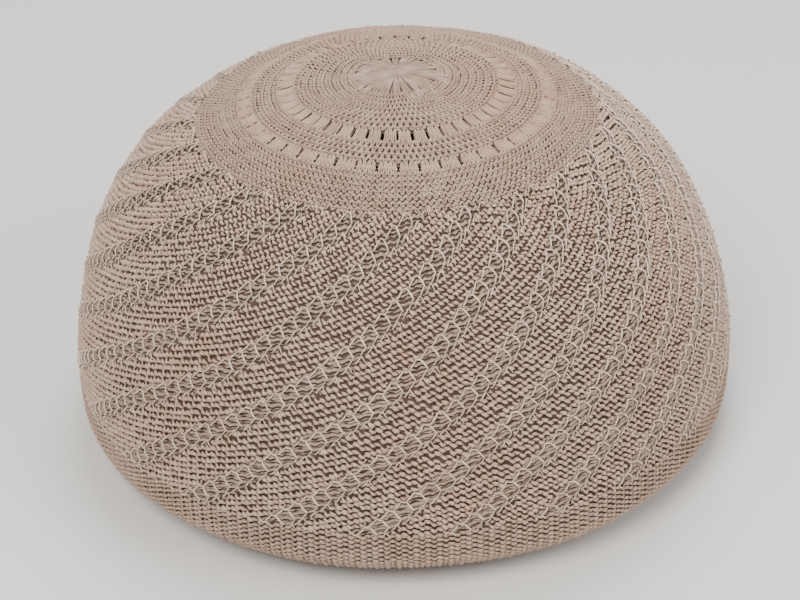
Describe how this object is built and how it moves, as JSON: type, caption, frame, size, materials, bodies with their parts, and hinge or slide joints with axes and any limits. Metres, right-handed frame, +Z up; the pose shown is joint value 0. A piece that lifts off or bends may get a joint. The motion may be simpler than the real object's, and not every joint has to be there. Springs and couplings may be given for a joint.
{
  "type": "knitted prayer cap",
  "caption": "Round knitted cap with an eyelet crown drawn up at its centre, a side wall with spiral lattice ribs, and a plain hem turned under to an open rim.",
  "frame": {"origin": "on the cap's axis, at the level of the hem's flat foot on which it stands", "axes": "+Z up along the cap's axis towards the crown's centre; -Y is the side that faces the camera"},
  "size_m": [0.1904, 0.1904, 0.1045],
  "materials": {
    "crown_yarn": "knitted, matt",
    "side_yarn": "knitted, matt",
    "hem_yarn": "knitted, matt"
  },
  "bodies": {
    "root": {"crown": "crown_yarn", "side_wall": "side_yarn", "hem_band": "hem_yarn"}
  },
  "joints": []
}
